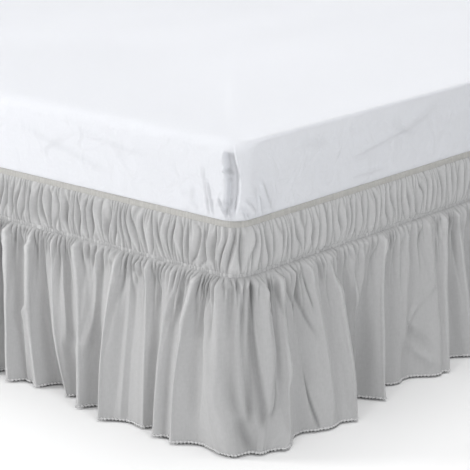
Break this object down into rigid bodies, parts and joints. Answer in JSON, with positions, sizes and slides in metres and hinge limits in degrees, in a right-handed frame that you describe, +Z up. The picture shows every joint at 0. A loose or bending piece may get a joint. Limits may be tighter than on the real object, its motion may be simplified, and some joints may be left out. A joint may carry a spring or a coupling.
{
  "type": "bed skirt on bed",
  "caption": "Elasticated ruffle bed skirt wrapped round a plain mattress in a fitted sheet: gathered heading, elastic seam and an uneven folded ruffle that hides the base and legs.",
  "frame": {"origin": "On the floor under the middle of the bed and its skirt.", "axes": "X across the bed, Y along it with the foot end at -Y, Z up. The corner seen in the picture is the one at +X -Y."},
  "size_m": [1.7272, 2.2303, 0.5478],
  "materials": {
    "skirt_cloth": "matte brushed microfibre, mid grey",
    "elastic_tape": "matte covered elastic, slightly warmer grey",
    "sheet_cloth": "matte white cotton",
    "mattress_ticking": "plain matte ticking, hidden",
    "base_cover": "plain matte cover, hidden",
    "leg_wood": "satin, hidden"
  },
  "bodies": {
    "root": {"mattress": "mattress_ticking", "fitted_sheet": "sheet_cloth", "bed_base": "base_cover", "leg_1": "leg_wood", "leg_2": "leg_wood", "leg_3": "leg_wood", "leg_4": "leg_wood", "top_elastic": "elastic_tape", "heading": "skirt_cloth", "seam_elastic": "elastic_tape", "ruffle_right": "skirt_cloth", "ruffle_head": "skirt_cloth", "ruffle_left": "skirt_cloth", "ruffle_foot": "skirt_cloth"}
  },
  "joints": []
}
